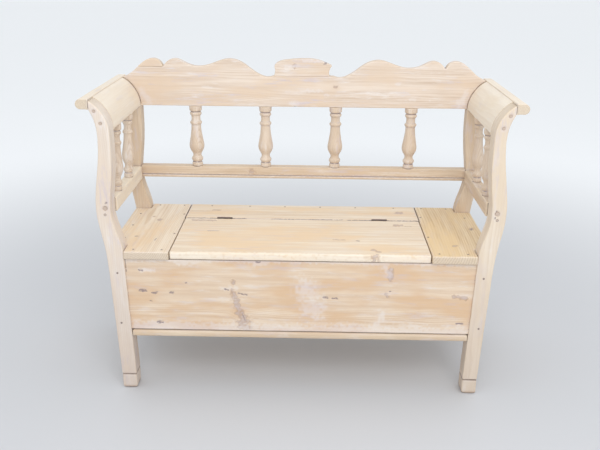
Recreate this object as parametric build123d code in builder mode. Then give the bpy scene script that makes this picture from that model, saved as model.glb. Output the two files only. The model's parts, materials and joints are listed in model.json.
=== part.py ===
"""Storage settle: a pine bench with scrolled arms and a hinged seat lid over a box.

Millimetres. X runs along the bench, +Y points to the back, Z up from the floor.
The origin is on the floor, under the middle of the bench.
Paired pieces are modelled on the right (+X) and mirrored to the left.
"""

import os

from build123d import *

# ---------------------------------------------------------------- driving sizes
SEAT_TOP = 460.0  # height of the seat
BOARD = 25.0  # thickness of the seat boards
DEPTH = 435.0  # front posts' front face to the back posts' rear face
SEAT_OVERHANG = 6.0  # seat boards ahead of the front posts
FRONT_POST_DEPTH = 54.0
BACK_POST_DEPTH = 47.0
FOOT_HEIGHT = 50.0
BOX_FLOOR = 202.0  # top of the bottom boards
BOTTOM_BOARD = 21.0  # thickness
RAIL_TOP = 607.0  # lower back rail and arm rails
CREST_BOTTOM = 808.0  # crest rail and arm panels
HAIR = 0.1  # clearance of a housed or drilled joint

FRONT = -(DEPTH + SEAT_OVERHANG) / 2 + SEAT_OVERHANG  # front face of the front posts
BACK = FRONT + DEPTH  # rear face of the back posts
SEAT_FRONT = FRONT - SEAT_OVERHANG
SEAT_UNDER = SEAT_TOP - BOARD
BOTTOM_UNDER = BOX_FLOOR - BOTTOM_BOARD
ARM_FRONT = FRONT + FRONT_POST_DEPTH  # rear face of the front posts
ARM_BACK = BACK - BACK_POST_DEPTH  # front face of the back posts

# Post seen from the front: straight tapering leg, swell above the seat, rolled tip.
LEG_OUTER = [(547, FOOT_HEIGHT), (561, 400)]
LEG_INNER = [(514, 450), (502, FOOT_HEIGHT)]
SWELL_OUTER = [(561, 400), (568, 477), (582.5, 578), (571, 692), (561, 785), (565, 836), (580, 872)]
SWELL_INNER = [(526.5, CREST_BOTTOM), (526.5, 756), (533, 662), (539, 560), (521, 493), (514, 450)]
TIP = (580.0, 898.0)
TIP_CURVE = [TIP, (545.5, 867), (526.5, CREST_BOTTOM)]
TIP_TANGENTS = [(-0.9, -0.42), (0, -1)]

# Box: the panels are housed in grooves in the posts.
FRONT_PANEL = 20.0  # thickness
SIDE_PANEL = 18.0  # thickness, and the back panel's
PANEL_RECESS = 6.0  # behind the posts' faces
TONGUE_X = 542.0  # ends of the front and back panels
SIDE_PANEL_X = 536.0  # middle plane of a side panel
SIDE_TONGUE = 10.0
FRONT_PANEL_MID = FRONT + PANEL_RECESS + FRONT_PANEL / 2
BACK_PANEL_MID = BACK - PANEL_RECESS - SIDE_PANEL / 2
SEAT_END_X = 565.0  # outer edge of the seat's side boards
SEAT_NOTCH_X = 513.3  # side boards against the posts
FLOOR_NOTCH_X = 505.5  # bottom boards against the legs
FLOOR_JOINT = FRONT + 218.0  # between the two bottom boards
BEARER_X = (366.0, 402.0)
BEARER_HEIGHT = 28.0

# Back: the crest and the lower rail are tenoned between the back posts.
BACK_LINE = FRONT + 410.5  # middle plane of the crest, the lower rail and the spindles
CREST_THICKNESS = 28.0
CREST_NOTCH = (449, 933)
CREST_SHELF = 907.5  # flat under the tablet
BACK_RAIL = (33.0, 40.0)  # thickness, height
TENON = 12.0  # thickness of the flat tenons
CREST_TENON = (543.0, CREST_BOTTOM + 4, CREST_BOTTOM + 30)  # end x, lowest z, highest z
RAIL_TENON = (557.0, RAIL_TOP - 32, RAIL_TOP - 8)
BACK_SPINDLE_X = [-352.0, -124.0, 105.0, 350.0]
BACK_SPINDLE_TENON = (8.0, 14.0)  # radius, length

# Arms.
ARM_RAIL = (32.0, 44.0)  # width, height
ARM_RAIL_X = 551.0
ARM_SPINDLE_FOOT_X = 550.0
ARM_SPINDLE_HEAD_X = 540.5
ARM_SPINDLE_Y = {"front": FRONT + 124, "rear": FRONT + 265}
ARM_SPINDLE_GIRTH = 0.8  # beside a back spindle
ARM_SPINDLE_TENON = (5.0, 12.0)
TRIM_ROOM = 0.3  # round a leaning tenon where its shoulder is trimmed level
SOCKET_ROOM = 0.6  # round a leaning tenon in its socket
ROLL_RADIUS = 14.5
ROLL_X = 599.5
ROLL_Z = 887.5

# Fastenings: radius and length of a peg, and places as (x, z) or (x, y).
PANEL_PEG = (4.0, 82.0)
PANEL_PEG_PLACES = [(564.0, 869.0), (548.5, 835.0)]
RAIL_DOWEL = (6.0, 88.0)
RAIL_DOWEL_PLACE = (556.0, 590.0)
RAIL_PIN = (2.5, 78.0)
RAIL_PIN_PLACE = (557.0, 571.0)
BLIND_DEPTH = 14.0  # of the rear pegs in the back posts
FOOT_DOWEL = (7.0, 50.0)
FOOT_DOWEL_X = 524.5
NAIL_SHANK = 1.4
NAIL_HEAD = (3.0, 1.0)  # radius, thickness
NAIL_LENGTH = 42.0
POST_NAIL_PLACES = [(536.0, 390.0), (536.0, 226.0)]
SEAT_NAIL_PLACES = [
    (405.0, FRONT_PANEL_MID), (488.0, FRONT_PANEL_MID), (405.0, BACK_PANEL_MID), (488.0, BACK_PANEL_MID),
    (SIDE_PANEL_X, FRONT + 110), (SIDE_PANEL_X, FRONT + 220), (SIDE_PANEL_X, FRONT + 330),
    (391.0, FRONT + 150), (391.0, FRONT + 330),
]
STRIP_NAIL_PLACES = [(60.0, BACK_PANEL_MID), (180.0, BACK_PANEL_MID), (310.0, BACK_PANEL_MID)]
FLOOR_NAIL_PLACES = [
    (90.0, FRONT_PANEL_MID), (300.0, FRONT_PANEL_MID), (470.0, FRONT_PANEL_MID),
    (90.0, BACK_PANEL_MID), (300.0, BACK_PANEL_MID), (470.0, BACK_PANEL_MID),
    (SIDE_PANEL_X, FRONT + 90), (SIDE_PANEL_X, FRONT + 180),
    (SIDE_PANEL_X, FRONT + 260), (SIDE_PANEL_X, FRONT + 350),
]
ROLL_NAIL_Y = [FRONT + 90, FRONT + 220, FRONT + 350]

# Lid and its two 50 mm butt hinges, let into the seam behind it.
LID_FRONT = FRONT - 1.0
LID_DEPTH = 296.0
LID_HALF = 380.5
LID_GAP = 2.0
REST_GAP = 0.5  # between the closed lid and what it lies on
SEAM = LID_FRONT + LID_DEPTH + LID_GAP / 2
HINGE_X = 252.0
HINGE_LENGTH = 50.0
KNUCKLES = 5
KNUCKLE_GAP = 0.4
PIN_Z = SEAT_TOP + 1.0
PIN_RADIUS = 1.25
PIN_FIT = 0.05
BARREL_RADIUS = 2.6
BARREL_ROOM = 3.2  # radius of the hollow that the barrel lies in
LEAF = 1.6
LEAF_HEIGHT = 21.0
LEAF_GAP = 0.2  # from the seam's middle to a leaf
SCREW_X = [-18.0, 0.0, 18.0]
SCREW_DROP = 13.0  # below the pin
SCREW = (1.6, 3.0, 18.0)  # shank radius, head radius, length

TOP_DOWN = (Align.CENTER, Align.CENTER, Align.MAX)


# ---------------------------------------------------------------- helpers
def save(name, builder):
    """Label a finished piece and write it."""
    builder.part.label = name
    export_step(builder.part, f"parts/{name}.step")


def save_pair(name, right):
    """Write a right-hand piece and its mirror image."""
    save(f"{name}_right", right)
    with BuildPart() as left:
        mirror(right.part, about=Plane.YZ)
    save(f"{name}_left", left)


def facing_front(y, x=0.0, z=0.0):
    return Plane(origin=(x, y, z), x_dir=(1, 0, 0), z_dir=(0, -1, 0))


def facing_up(z, x=0.0, y=0.0):
    return Plane(origin=(x, y, z), x_dir=(1, 0, 0), z_dir=(0, 0, 1))


def facing_down(z, x=0.0, y=0.0):
    return Plane(origin=(x, y, z), x_dir=(1, 0, 0), z_dir=(0, 0, -1))


def both_sides(places):
    """Places on the right, each with its mirror image on the left."""
    return [(sign * x, other) for x, other in places for sign in (1, -1)]


def bar(x, y, z, mode=Mode.ADD):
    """A box between two values of x, y and z."""
    with Locations(((x[0] + x[1]) / 2, (y[0] + y[1]) / 2, (z[0] + z[1]) / 2)):
        Box(abs(x[1] - x[0]), y[1] - y[0], z[1] - z[0], mode=mode)


def pegs(planes, radius, length, mode=Mode.ADD):
    """Round pegs driven into each plane, flush with it."""
    with Locations(*[plane.location for plane in planes]):
        Cylinder(radius, length, align=TOP_DOWN, mode=mode)


def drill(planes, radius, length):
    """Holes for such pegs."""
    pegs(planes, radius + HAIR / 2, length + HAIR, mode=Mode.SUBTRACT)


def nails(planes):
    """Nails driven into each plane, with their flat heads flush."""
    pegs(planes, NAIL_SHANK, NAIL_LENGTH)
    pegs(planes, *NAIL_HEAD)


def nail_holes(planes):
    drill(planes, NAIL_SHANK, NAIL_LENGTH)
    drill(planes, *NAIL_HEAD)


# ---------------------------------------------------------------- places of the fastenings
panel_peg_planes = [facing_front(FRONT, x, z) for x, z in PANEL_PEG_PLACES]
rail_dowel_planes = [facing_front(FRONT, *RAIL_DOWEL_PLACE)]
rail_pin_planes = [facing_front(FRONT, *RAIL_PIN_PLACE)]
panel_peg_bite = PANEL_PEG[1] - FRONT_POST_DEPTH
rail_dowel_bite = RAIL_DOWEL[1] - FRONT_POST_DEPTH
blind_peg = (PANEL_PEG[0], panel_peg_bite + BLIND_DEPTH)
blind_dowel = (RAIL_DOWEL[0], rail_dowel_bite + BLIND_DEPTH)
blind_peg_planes = [facing_front(ARM_BACK - panel_peg_bite, x, z) for x, z in PANEL_PEG_PLACES]
blind_dowel_planes = [facing_front(ARM_BACK - rail_dowel_bite, *RAIL_DOWEL_PLACE)]
post_nail_planes = [facing_front(FRONT, x, z) for x, z in both_sides(POST_NAIL_PLACES)]
seat_nail_planes = [facing_up(SEAT_TOP, x, y) for x, y in both_sides(SEAT_NAIL_PLACES)]
strip_nail_planes = [facing_up(SEAT_TOP, x, y) for x, y in both_sides(STRIP_NAIL_PLACES)]
floor_nail_planes = [facing_down(BOTTOM_UNDER, x, y) for x, y in both_sides(FLOOR_NAIL_PLACES)]
roll_nail_planes = [
    Plane(origin=(ROLL_X + ROLL_RADIUS, y, ROLL_Z), x_dir=(0, 1, 0), z_dir=(1, 0, 0)) for y in ROLL_NAIL_Y
]
foot_dowel_z = FOOT_HEIGHT + FOOT_DOWEL[1] / 2
front_foot_y = FRONT + FRONT_POST_DEPTH / 2
back_foot_y = BACK - BACK_POST_DEPTH / 2


# ---------------------------------------------------------------- outlines
def post_face():
    """Right-hand post above its foot, seen from the front."""
    with BuildSketch() as face:
        with BuildLine():
            Line(*LEG_OUTER)
            Spline(*SWELL_OUTER, tangents=[(14, 350), (0.55, 0.83)])
            Line(SWELL_OUTER[-1], TIP)
            Spline(*TIP_CURVE, tangents=TIP_TANGENTS)
            Spline(*SWELL_INNER, tangents=[(0, -1), (-12, -400)])
            Line(*LEG_INNER)
            Line(LEG_INNER[-1], LEG_OUTER[0])
        make_face()
    return face.sketch


def crest_face():
    """Right half of the crest, coped to the post up to its tip."""
    with BuildSketch() as face:
        with BuildLine():
            Line((0, CREST_BOTTOM), TIP_CURVE[-1])
            Spline(*TIP_CURVE, tangents=TIP_TANGENTS)
            Line(TIP, (578, 900.5))
            Spline((578, 900.5), (556, 911), (531, 932), (504, 953), (479, 958.5), CREST_NOTCH)
            Spline(CREST_NOTCH, (434, 951), (413, 958.5), (372, 943), (333, 935.5), (290, 945),
                   (239, 959.5), (200, 950), (164, 925), (113, 903.5), (96, CREST_SHELF))
            Polyline((96, CREST_SHELF), (0, CREST_SHELF), (0, CREST_BOTTOM))
        make_face()
    return face.sketch


def arm_panel_face():
    """End of the right-hand arm panel: its upper side follows the posts' rolled tips."""
    with BuildSketch() as face:
        with BuildLine():
            Spline(*TIP_CURVE, tangents=TIP_TANGENTS)
            Line(TIP_CURVE[-1], (550.5, CREST_BOTTOM))
            Spline((550.5, CREST_BOTTOM), (554, 832), (564.5, 853.5), (580, 873.5),
                   tangents=[(0, 1), (0.6, 0.8)])
            Line((580, 873.5), TIP)
        make_face()
    return face.sketch


def spindle_face(girth, tenon):
    """Half section of a turned spindle that stands on its rail at z = 0."""
    def at(radius, level):
        return radius * girth, level

    height = CREST_BOTTOM - RAIL_TOP
    peg_radius, peg_length = tenon
    with BuildSketch() as face:
        with BuildLine():
            Polyline((0, -peg_length), (peg_radius, -peg_length), (peg_radius, 0), at(17, 0),
                     at(17.5, 1), at(17.5, 11), at(15, 12.5), at(15, 16))
            ThreePointArc(at(15, 16), at(19, 23), at(15.5, 30.5))
            Spline(at(15.5, 30.5), at(14.3, 41), at(20.2, 52), at(24.4, 68), at(22.4, 84),
                   at(18.5, 107), at(16, 138))
            Line(at(16, 138), at(17.5, 140.5))
            ThreePointArc(at(17.5, 140.5), at(19.7, 145), at(17.5, 149.5))
            Line(at(17.5, 149.5), at(15.5, 151))
            ThreePointArc(at(15.5, 151), at(14.5, 160), at(15.5, 169))
            Line(at(15.5, 169), at(17.3, 170.5))
            ThreePointArc(at(17.3, 170.5), at(19.3, 175), at(17.3, 179.5))
            Polyline(at(17.3, 179.5), at(16, 181), at(16, 183.5), at(19, 184), at(20.5, 186.5),
                     at(20.5, 199.5), at(19.5, height), (peg_radius, height),
                     (peg_radius, height + peg_length), (0, height + peg_length), (0, -peg_length))
        make_face()
    return face.sketch


# ---------------------------------------------------------------- posts and feet
def side_panel_groove(near, far):
    """Groove for a side panel's tongue, between two values of y."""
    half = SIDE_PANEL / 2 + HAIR
    bar((SIDE_PANEL_X - half, SIDE_PANEL_X + half), (near, far), (BOX_FLOOR, SEAT_UNDER), Mode.SUBTRACT)


def cross_panel_groove(middle, thickness):
    """Groove in a post's inner side for the end of the front or back panel."""
    half = thickness / 2 + HAIR
    bar((495, TONGUE_X + HAIR), (middle - half, middle + half), (BOX_FLOOR, SEAT_UNDER), Mode.SUBTRACT)


def mortise(tenon):
    """Mortise for a flat tenon of the crest or the lower rail."""
    end, low, high = tenon
    half = TENON / 2 + HAIR
    bar((520, end + HAIR), (BACK_LINE - half, BACK_LINE + half), (low - HAIR, high + HAIR), Mode.SUBTRACT)


def front_post():
    with BuildPart() as post:
        with BuildSketch(facing_front(ARM_FRONT)):
            add(post_face())
        extrude(amount=FRONT_POST_DEPTH)
        cross_panel_groove(FRONT_PANEL_MID, FRONT_PANEL)
        side_panel_groove(ARM_FRONT - SIDE_TONGUE - HAIR, ARM_FRONT + 1)
        drill(panel_peg_planes, *PANEL_PEG)
        drill(rail_dowel_planes, *RAIL_DOWEL)
        drill(rail_pin_planes, *RAIL_PIN)
        drill([facing_up(foot_dowel_z, FOOT_DOWEL_X, front_foot_y)], *FOOT_DOWEL)
        nail_holes(post_nail_planes)
    save_pair("front_post", post)


def back_post():
    with BuildPart() as post:
        with BuildSketch(facing_front(BACK)):
            add(post_face())
        extrude(amount=BACK_POST_DEPTH)
        cross_panel_groove(BACK_PANEL_MID, SIDE_PANEL)
        side_panel_groove(ARM_BACK - 1, ARM_BACK + SIDE_TONGUE + HAIR)
        mortise(CREST_TENON)
        mortise(RAIL_TENON)
        drill(blind_peg_planes, *blind_peg)
        drill(blind_dowel_planes, *blind_dowel)
        drill([facing_up(foot_dowel_z, FOOT_DOWEL_X, back_foot_y)], *FOOT_DOWEL)
    save_pair("back_post", post)


def foot(name, middle, depth):
    """Foot block under a leg, with chamfered lower edges and a fine vee at the joint."""
    with BuildPart() as block:
        bar((LEG_INNER[-1][0], LEG_OUTER[0][0]), (middle - depth / 2, middle + depth / 2), (0, FOOT_HEIGHT))
        chamfer(block.faces().sort_by(Axis.Z)[0].edges(), length=5)
        chamfer(block.faces().sort_by(Axis.Z)[-1].edges(), length=1.5)
        drill([facing_up(foot_dowel_z, FOOT_DOWEL_X, middle)], *FOOT_DOWEL)
    save_pair(name, block)


def foot_dowels():
    with BuildPart() as dowels:
        places = [(x, y) for x in (FOOT_DOWEL_X, -FOOT_DOWEL_X) for y in (front_foot_y, back_foot_y)]
        pegs([facing_up(foot_dowel_z, x, y) for x, y in places], *FOOT_DOWEL)
    save("foot_dowels", dowels)


# ---------------------------------------------------------------- back
def flat_tenons(tenon, shoulder):
    """Tenons on both ends of a back rail, from inside its shoulders."""
    end, low, high = tenon
    for sign in (1, -1):
        bar((sign * shoulder, sign * end), (BACK_LINE - TENON / 2, BACK_LINE + TENON / 2), (low, high))


def spindle_sockets(planes):
    drill(planes, *BACK_SPINDLE_TENON)


def crest_blank():
    """The crest as one board: outline, tenons and spindle sockets."""
    with BuildPart() as board:
        with BuildSketch(facing_front(BACK_LINE + CREST_THICKNESS / 2)):
            add(crest_face())
            mirror(about=Plane.YZ)
        extrude(amount=CREST_THICKNESS)
        flat_tenons(CREST_TENON, 520)
        drill([facing_down(CREST_BOTTOM, x, BACK_LINE) for x in BACK_SPINDLE_X], *BACK_SPINDLE_TENON)
    return board.part


def crest():
    """Crest rail, whose left hump is a separate glued-on piece."""
    blank = crest_blank()
    seam_x, seam_z = CREST_NOTCH
    hump = ((-600, -seam_x), (BACK_LINE - 30, BACK_LINE + 30), (seam_z, 1000))
    with BuildPart() as rail:
        add(blank)
        bar(*hump, Mode.SUBTRACT)
    save("crest_rail", rail)
    with BuildPart() as end_piece:
        add(blank)
        bar(*hump, Mode.INTERSECT)
    save("crest_end_piece", end_piece)


def crest_tablet():
    """Arched tablet glued on the middle of the crest, with an undercut right end."""
    with BuildPart() as tablet:
        with BuildSketch(facing_front(BACK_LINE + CREST_THICKNESS / 2)):
            with BuildLine():
                Line((-94, CREST_SHELF), (-91, 928))
                Spline((-91, 928), (-93.5, 939), (-84, 949), (-50, 958.5), (0, 962), (45, 958.5),
                       (70, 950), (90, 941))
                Spline((90, 941), (82.5, 928), (82, CREST_SHELF))
                Line((82, CREST_SHELF), (-94, CREST_SHELF))
            make_face()
        extrude(amount=CREST_THICKNESS)
    save("crest_tablet", tablet)


def lower_back_rail():
    """Rail with a quirked bead along its lower front edge, coped to the posts."""
    thickness, height = BACK_RAIL
    front, rear, bottom = BACK_LINE - thickness / 2, BACK_LINE + thickness / 2, RAIL_TOP - height
    with BuildPart() as rail:
        with BuildSketch(Plane.YZ.offset(-545)):
            with BuildLine():
                Polyline((front + 4, bottom), (rear, bottom), (rear, RAIL_TOP), (front, RAIL_TOP),
                         (front, bottom + 13), (front + 3, bottom + 12), (front + 3, bottom + 9.5),
                         (front + 1, bottom + 9))
                ThreePointArc((front + 1, bottom + 9), (front, bottom + 4.5), (front + 4, bottom))
            make_face()
        extrude(amount=1090)
        with BuildSketch(facing_front(BACK + 5)):
            add(post_face())
            mirror(about=Plane.YZ)
        extrude(amount=BACK_POST_DEPTH + 10, mode=Mode.SUBTRACT)
        flat_tenons(RAIL_TENON, 530)
        drill([facing_up(RAIL_TOP, x, BACK_LINE) for x in BACK_SPINDLE_X], *BACK_SPINDLE_TENON)
    save("lower_back_rail", rail)


def back_spindles():
    for number, x in enumerate(BACK_SPINDLE_X, start=1):
        with BuildPart() as spindle:
            with BuildSketch(facing_front(BACK_LINE, x, RAIL_TOP)):
                add(spindle_face(1.0, BACK_SPINDLE_TENON))
            revolve(axis=Axis((x, BACK_LINE, 0), (0, 0, 1)))
        save(f"back_spindle_{number}", spindle)


# ---------------------------------------------------------------- arms
def arm_spindle_plane(y):
    """Plane of a leaning arm spindle, with its local Y along the spindle."""
    lean = Vector(ARM_SPINDLE_HEAD_X - ARM_SPINDLE_FOOT_X, 0, CREST_BOTTOM - RAIL_TOP).normalized()
    return Plane(origin=(ARM_SPINDLE_FOOT_X, y, RAIL_TOP), x_dir=(lean.Z, 0, -lean.X), z_dir=(0, -1, 0))


def arm_spindle_sockets():
    """Leaning holes for the tenons at both ends of the arm spindles."""
    radius, length = ARM_SPINDLE_TENON
    for y in ARM_SPINDLE_Y.values():
        axis = arm_spindle_plane(y)
        rod = Plane(origin=axis.origin, x_dir=(0, 1, 0), z_dir=axis.y_dir).offset(-length - 1)
        with Locations(rod.location):
            Cylinder(radius + SOCKET_ROOM, CREST_BOTTOM - RAIL_TOP + 2 * length + 2,
                     align=(Align.CENTER, Align.CENTER, Align.MIN), mode=Mode.SUBTRACT)


def arm_spindles():
    """Slimmer spindles that lean inwards, with shoulders trimmed level."""
    for place, y in ARM_SPINDLE_Y.items():
        plane = arm_spindle_plane(y)
        with BuildPart() as spindle:
            with BuildSketch(plane):
                add(spindle_face(ARM_SPINDLE_GIRTH, ARM_SPINDLE_TENON))
            revolve(axis=Axis(plane.origin, plane.y_dir))
            with BuildSketch(Plane.XY.offset(RAIL_TOP)):
                with Locations((ARM_SPINDLE_FOOT_X, y)):
                    Circle(30)
                    Circle(ARM_SPINDLE_TENON[0] + TRIM_ROOM, mode=Mode.SUBTRACT)
            extrude(amount=-3, mode=Mode.SUBTRACT)
            with BuildSketch(Plane.XY.offset(CREST_BOTTOM)):
                with Locations((ARM_SPINDLE_HEAD_X, y)):
                    Circle(30)
                    Circle(ARM_SPINDLE_TENON[0] + TRIM_ROOM, mode=Mode.SUBTRACT)
            extrude(amount=3, mode=Mode.SUBTRACT)
        save_pair(f"arm_spindle_{place}", spindle)


def arm_panel():
    """Curved arm panel between the posts."""
    with BuildPart() as panel:
        with BuildSketch(facing_front(ARM_BACK - HAIR)):
            add(arm_panel_face())
        extrude(amount=ARM_BACK - ARM_FRONT - 2 * HAIR)
        drill(panel_peg_planes, *PANEL_PEG)
        drill(blind_peg_planes, *blind_peg)
        nail_holes(roll_nail_planes)
        arm_spindle_sockets()
    save_pair("arm_panel", panel)


def arm_roll():
    """Half-round nosing along the outer edge of the arm, flat against the posts' tips."""
    flat = TIP[0] + HAIR
    with BuildPart() as roll:
        with BuildSketch(facing_front(BACK)):
            with BuildLine():
                ThreePointArc((ROLL_X, ROLL_Z + ROLL_RADIUS), (ROLL_X + ROLL_RADIUS, ROLL_Z),
                              (ROLL_X, ROLL_Z - ROLL_RADIUS))
                Polyline((ROLL_X, ROLL_Z - ROLL_RADIUS), (flat, ROLL_Z - ROLL_RADIUS),
                         (flat, ROLL_Z + ROLL_RADIUS), (ROLL_X, ROLL_Z + ROLL_RADIUS))
            make_face()
        extrude(amount=DEPTH)
        fillet(roll.edges().filter_by(Axis.Y).group_by(Axis.X)[0], radius=2)
        nail_holes(roll_nail_planes)
    save_pair("arm_roll", roll)


def arm_rail():
    width, height = ARM_RAIL
    with BuildPart() as rail:
        bar((ARM_RAIL_X - width / 2, ARM_RAIL_X + width / 2), (ARM_FRONT + HAIR, ARM_BACK - HAIR),
            (RAIL_TOP - height, RAIL_TOP))
        fillet(rail.edges().filter_by(Axis.Y), radius=2)
        drill(rail_dowel_planes, *RAIL_DOWEL)
        drill(rail_pin_planes, *RAIL_PIN)
        drill(blind_dowel_planes, *blind_dowel)
        arm_spindle_sockets()
    save_pair("arm_rail", rail)


def mirror_pegs(name, *groups):
    """Pegs of both arms as one node. A group is planes, radius and length."""
    with BuildPart() as right:
        for planes, radius, length in groups:
            pegs(planes, radius, length)
    with BuildPart() as both:
        add(right.part)
        mirror(right.part, about=Plane.YZ)
    save(name, both)


def arm_fastenings():
    mirror_pegs("arm_panel_pegs", (panel_peg_planes, *PANEL_PEG), (blind_peg_planes, *blind_peg))
    mirror_pegs("arm_rail_dowels", (rail_dowel_planes, *RAIL_DOWEL), (rail_pin_planes, *RAIL_PIN),
                (blind_dowel_planes, *blind_dowel))
    with BuildPart() as right:
        nails(roll_nail_planes)
    with BuildPart() as both:
        add(right.part)
        mirror(right.part, about=Plane.YZ)
    save("arm_roll_nails", both)


# ---------------------------------------------------------------- box
def cross_panel(name, middle, thickness):
    """Front or back panel: one board across the bench, housed in the posts."""
    with BuildPart() as panel:
        bar((-TONGUE_X, TONGUE_X), (middle - thickness / 2, middle + thickness / 2), (BOX_FLOOR, SEAT_UNDER))
        nail_holes(post_nail_planes)
        nail_holes(seat_nail_planes + strip_nail_planes)
        nail_holes(floor_nail_planes)
    save(name, panel)


def side_panel():
    with BuildPart() as panel:
        bar((SIDE_PANEL_X - SIDE_PANEL / 2, SIDE_PANEL_X + SIDE_PANEL / 2),
            (ARM_FRONT - SIDE_TONGUE, ARM_BACK + SIDE_TONGUE), (BOX_FLOOR, SEAT_UNDER))
        nail_holes(seat_nail_planes)
        nail_holes(floor_nail_planes)
    save_pair("side_panel", panel)


def bottom_boards():
    """Two boards under the panels, notched round the legs, with a rounded front edge."""
    end = SIDE_PANEL_X + SIDE_PANEL / 2
    with BuildPart() as front_board:
        bar((-end, end), (FRONT, FLOOR_JOINT), (BOTTOM_UNDER, BOX_FLOOR))
        for sign in (1, -1):
            bar((sign * FLOOR_NOTCH_X, sign * 600), (FRONT - 1, ARM_FRONT + 0.5), (0, 300), Mode.SUBTRACT)
        fillet(front_board.edges().filter_by(Axis.X).group_by(Axis.Y)[0], radius=6)
        nail_holes(floor_nail_planes)
    save("bottom_board_front", front_board)
    with BuildPart() as rear_board:
        bar((-end, end), (FLOOR_JOINT + 1, BACK), (BOTTOM_UNDER, BOX_FLOOR))
        for sign in (1, -1):
            bar((sign * FLOOR_NOTCH_X, sign * 600), (ARM_BACK - 0.5, BACK + 1), (0, 300), Mode.SUBTRACT)
        nail_holes(floor_nail_planes)
    save("bottom_board_rear", rear_board)


def seat_bearer():
    """Batten under a side board's inner edge, which the lid's edge also lies over."""
    with BuildPart() as bearer:
        bar(BEARER_X,
            (FRONT_PANEL_MID + FRONT_PANEL / 2 + HAIR, BACK_PANEL_MID - SIDE_PANEL / 2 - HAIR),
            (SEAT_UNDER - BEARER_HEIGHT, SEAT_UNDER))
        nail_holes(seat_nail_planes)
    save_pair("seat_bearer", bearer)


# ---------------------------------------------------------------- seat
def seat_board():
    """Side board of the seat, with its grain front to back, notched round both posts."""
    inner = LID_HALF + LID_GAP
    with BuildPart() as board:
        with BuildSketch(Plane.XY.offset(SEAT_UNDER)):
            with BuildLine():
                Polyline((inner, SEAT_FRONT), (SEAT_NOTCH_X, SEAT_FRONT), (SEAT_NOTCH_X, ARM_FRONT + 0.5),
                         (SEAT_END_X, ARM_FRONT + 0.5), (SEAT_END_X, ARM_BACK - 0.5),
                         (SEAT_NOTCH_X, ARM_BACK - 0.5), (SEAT_NOTCH_X, BACK), (inner, BACK), close=True)
            make_face()
        extrude(amount=BOARD)
        fillet(board.edges().filter_by(Axis.X).group_by(Axis.Y)[0], radius=3)
        nail_holes(seat_nail_planes)
    save_pair("seat_board", board)


def hinge_recess(side):
    """Room for the leaves and barrels of both hinges: side is -1 in the lid, 1 in the strip."""
    far = SEAM + side * (LEAF_GAP + LEAF)
    for x in (HINGE_X, -HINGE_X):
        half = HINGE_LENGTH / 2 + HAIR
        bar((x - half, x + half), tuple(sorted((SEAM, far))), (PIN_Z - LEAF_HEIGHT - HAIR, PIN_Z + 1),
            Mode.SUBTRACT)
        with Locations(Location((x, SEAM, PIN_Z), (0, 90, 0))):
            Cylinder(BARREL_ROOM, HINGE_LENGTH + 2 * HAIR, mode=Mode.SUBTRACT)


def screw_planes(side):
    """Screw heads' places on the leaves, each facing the seam."""
    y = SEAM + side * LEAF_GAP
    return [
        Plane(origin=(x + shift, y, PIN_Z - SCREW_DROP), x_dir=(side, 0, 0), z_dir=(0, -side, 0))
        for x in (HINGE_X, -HINGE_X) for shift in SCREW_X
    ]


def screws(side, extra=0.0, mode=Mode.ADD):
    """Countersunk screws of the leaves on one side of the seam, or with extra their holes."""
    shank, head, length = SCREW
    with Locations(*[plane.location for plane in screw_planes(side)]):
        Cylinder(shank + extra, length + extra, align=TOP_DOWN, mode=mode)
        Cone(shank + extra, head + extra, LEAF, align=TOP_DOWN, mode=mode)


def seat_back_strip():
    """Fixed strip behind the lid, which carries the hinges."""
    half = LID_HALF + LID_GAP - HAIR
    with BuildPart() as strip:
        bar((-half, half), (SEAM + LID_GAP / 2, BACK), (SEAT_UNDER, SEAT_TOP))
        hinge_recess(1)
        screws(1, HAIR / 2, Mode.SUBTRACT)
        nail_holes(strip_nail_planes)
    save("seat_back_strip", strip)


def lid_board():
    """One wide board with a rounded front edge."""
    with BuildPart() as lid:
        bar((-LID_HALF, LID_HALF), (LID_FRONT, SEAM - LID_GAP / 2), (SEAT_UNDER + REST_GAP, SEAT_TOP))
        fillet(lid.edges().filter_by(Axis.X).group_by(Axis.Y)[0], radius=4)
        hinge_recess(-1)
        screws(-1, HAIR / 2, Mode.SUBTRACT)
    save("lid_board", lid)


def hinge_leaf(x, side):
    """Leaf let into one side of the seam; the fixed leaf has the outer knuckles."""
    pitch = HINGE_LENGTH / KNUCKLES
    bore = PIN_RADIUS if side > 0 else PIN_RADIUS + PIN_FIT
    plate = tuple(sorted((SEAM + side * LEAF_GAP, SEAM + side * (LEAF_GAP + LEAF))))
    with BuildPart() as leaf:
        bar((x - HINGE_LENGTH / 2, x + HINGE_LENGTH / 2), plate, (PIN_Z - LEAF_HEIGHT, PIN_Z))
        for knuckle in range(KNUCKLES):
            middle = Location((x + (knuckle - (KNUCKLES - 1) / 2) * pitch, SEAM, PIN_Z), (0, 90, 0))
            own = (knuckle % 2 == 0) == (side > 0)
            with Locations(middle):
                if own:
                    Cylinder(BARREL_RADIUS, pitch - KNUCKLE_GAP)
                else:
                    Cylinder(BARREL_RADIUS + KNUCKLE_GAP, pitch, mode=Mode.SUBTRACT)
        with Locations(Location((x, SEAM, PIN_Z), (0, 90, 0))):
            Cylinder(bore, HINGE_LENGTH + 2, mode=Mode.SUBTRACT)
        screws(side, HAIR / 2, Mode.SUBTRACT)
    return leaf


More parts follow.
